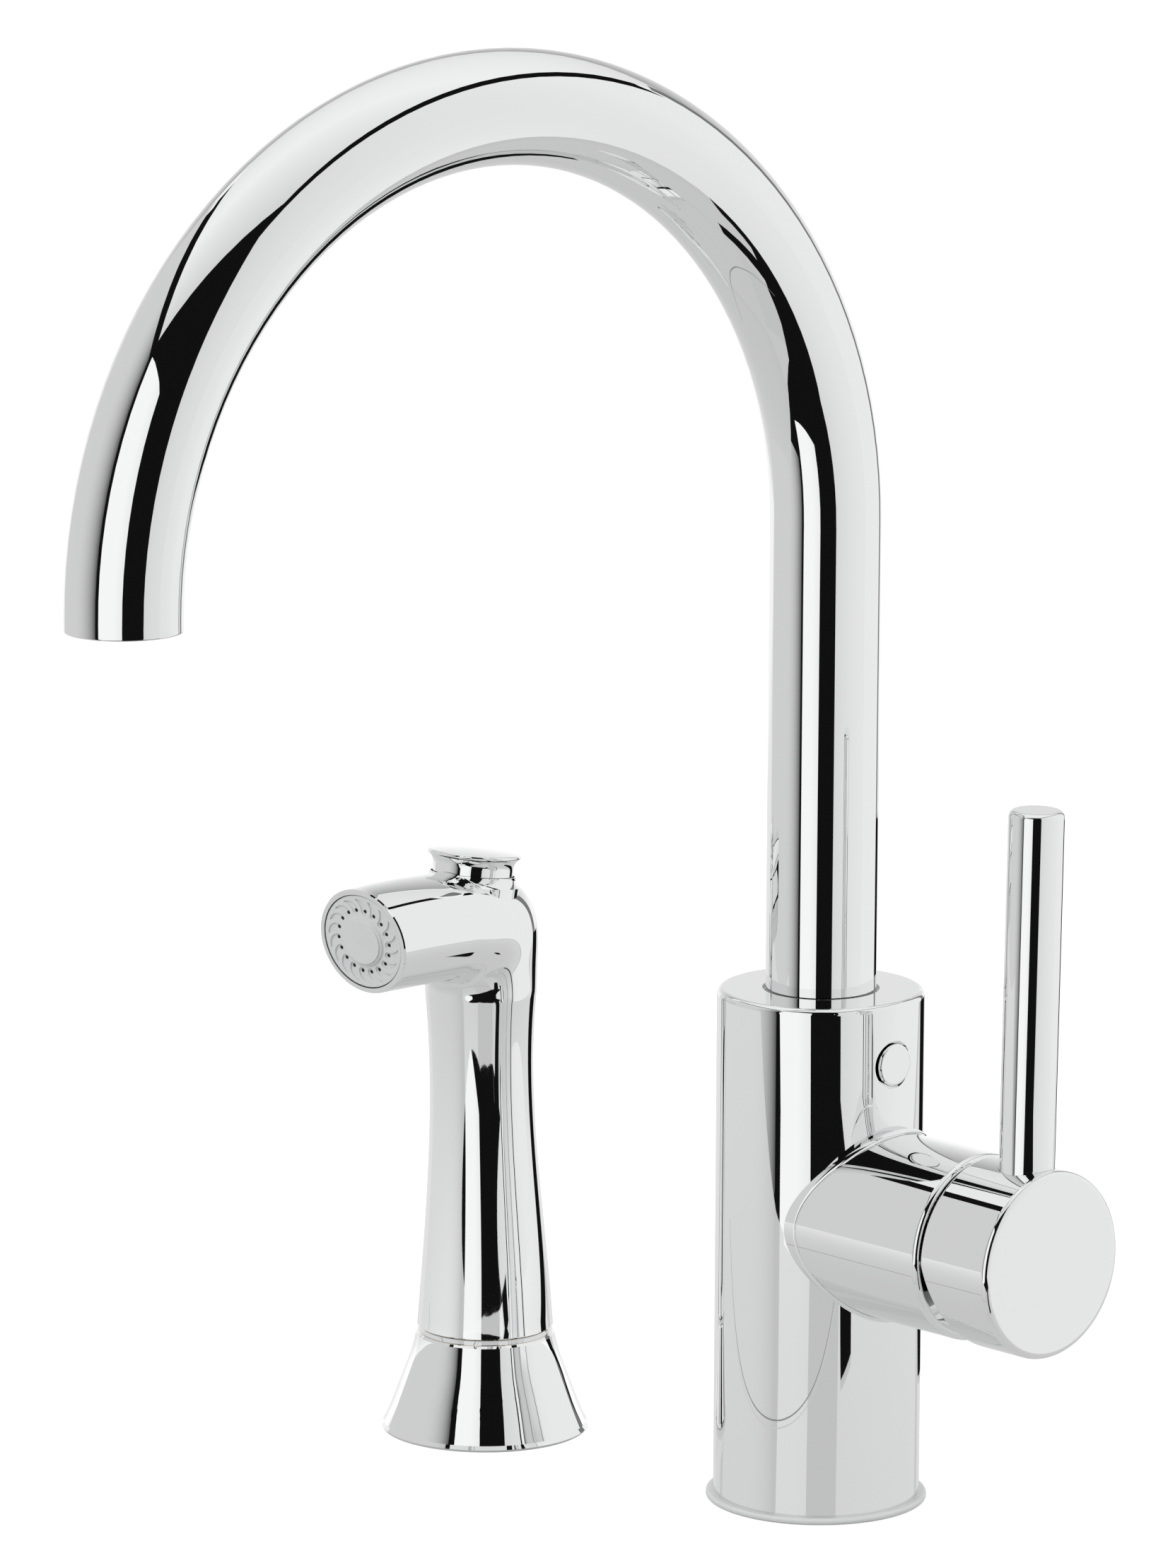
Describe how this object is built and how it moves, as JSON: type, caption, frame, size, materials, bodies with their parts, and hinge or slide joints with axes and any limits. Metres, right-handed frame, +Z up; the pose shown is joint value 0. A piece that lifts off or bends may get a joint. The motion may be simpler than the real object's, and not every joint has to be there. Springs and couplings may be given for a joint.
{
  "type": "side spray kitchen faucet",
  "caption": "Deck-mounted kitchen faucet with a tall swivelling gooseneck spout, a side lever mixer and a separate hand spray in its own deck holder.",
  "frame": {"origin": "centre of the body's hose cavity at deck level, on the spout's swivel axis", "axes": "+Z up from the deck, -Y the way the spout reaches, +X out along the valve housing and its lever, -X the side of the hand spray"},
  "size_m": [0.2039, 0.2506, 0.3586],
  "materials": {
    "polished_chrome": "mirror-bright chrome plate",
    "grey_plastic": "light grey satin plastic",
    "plug_plastic": "grey plastic",
    "white_plastic": "moulded off-white plastic",
    "brass": "machined brass",
    "steel": "plain stainless steel",
    "rubber": "black rubber",
    "ceramic": "lapped white ceramic"
  },
  "bodies": {
    "faucet": {"faucet_body": "polished_chrome", "base_gasket": "grey_plastic", "spout_glide_ring": "grey_plastic", "spout_thrust_washer": "white_plastic", "spout_lock_screw": "steel", "spout_screw_cover": "polished_chrome", "cartridge_base": "white_plastic", "cartridge_port_seals": "rubber", "fixed_disc": "ceramic", "cartridge_shell": "white_plastic", "cartridge_nut": "brass", "valve_dome": "polished_chrome", "diverter_cage": "white_plastic", "diverter_spring": "steel", "spray_holder": "polished_chrome", "holder_gasket": "grey_plastic", "holder_liner": "white_plastic"},
    "spout": {"spout_tube": "polished_chrome", "spout_stem": "brass", "spout_seals": "rubber", "aerator_housing": "white_plastic", "aerator_core": "white_plastic", "aerator_screen": "steel", "aerator_washer": "rubber"},
    "mixer_carrier": {"cartridge_rotor": "white_plastic", "spindle_pin": "steel"},
    "handle": {"mixer_spindle": "steel", "handle_cap": "polished_chrome", "lever_rod": "polished_chrome", "handle_grub_screw": "steel", "handle_screw_plug": "plug_plastic"},
    "mixer_disc": {"moving_disc": "ceramic", "disc_carrier": "white_plastic"},
    "diverter_piston": {"diverter_piston": "white_plastic", "piston_seal": "rubber"},
    "hose_coupling": {"hose_coupling": "brass", "coupling_seal": "rubber"},
    "spray_wand": {"wand_shell": "polished_chrome", "wand_end_ring": "white_plastic", "wand_waterway": "white_plastic", "spray_face": "grey_plastic", "face_screw": "steel", "face_cap": "grey_plastic", "face_seal": "rubber", "button_spring": "steel"},
    "spray_button": {"thumb_button": "polished_chrome", "valve_stem": "steel", "valve_washer": "rubber"}
  },
  "joints": [
    {"name": "spout_swivel", "type": "hinge", "parent": "faucet", "child": "spout", "pos_m": [0, 0, 0], "axis": [0, 0, 1], "continuous": true},
    {"name": "handle_temperature", "type": "hinge", "parent": "faucet", "child": "mixer_carrier", "pos_m": [0.04, 0, 0.0724], "axis": [1, 0, 0], "range_deg": [-45, 45]},
    {"name": "handle_flow", "type": "hinge", "parent": "mixer_carrier", "child": "handle", "pos_m": [0.04, 0, 0.0724], "axis": [0, 1, 0], "range_deg": [0, 15]},
    {"name": "disc_slide", "type": "slide", "parent": "mixer_carrier", "child": "mixer_disc", "axis": [0, 0, 1], "range_m": [0, 0.0026]},
    {"name": "diverter_slide", "type": "slide", "parent": "faucet", "child": "diverter_piston", "axis": [0, 0, -1], "range_m": [0, 0.002], "stiffness_N_per_m": 100, "springref_m": -0.001, "deforming": ["diverter_spring"]},
    {"name": "spray_lift", "type": "slide", "parent": "faucet", "child": "hose_coupling", "axis": [0, 0, 1], "range_m": [0, 0.15]},
    {"name": "spray_swivel", "type": "hinge", "parent": "hose_coupling", "child": "spray_wand", "pos_m": [-0.10006, -0.01764, 0], "axis": [0, 0, 1], "continuous": true},
    {"name": "spray_button", "type": "slide", "parent": "spray_wand", "child": "spray_button", "axis": [0.0215, -0.1375, -0.9903], "range_m": [0, 0.0025], "stiffness_N_per_m": 600, "springref_m": -0.003, "deforming": ["button_spring"]}
  ],
  "couplings": [
    {"joint": "disc_slide", "follows": "handle_flow", "m_per_rad": 0.0098862}
  ]
}
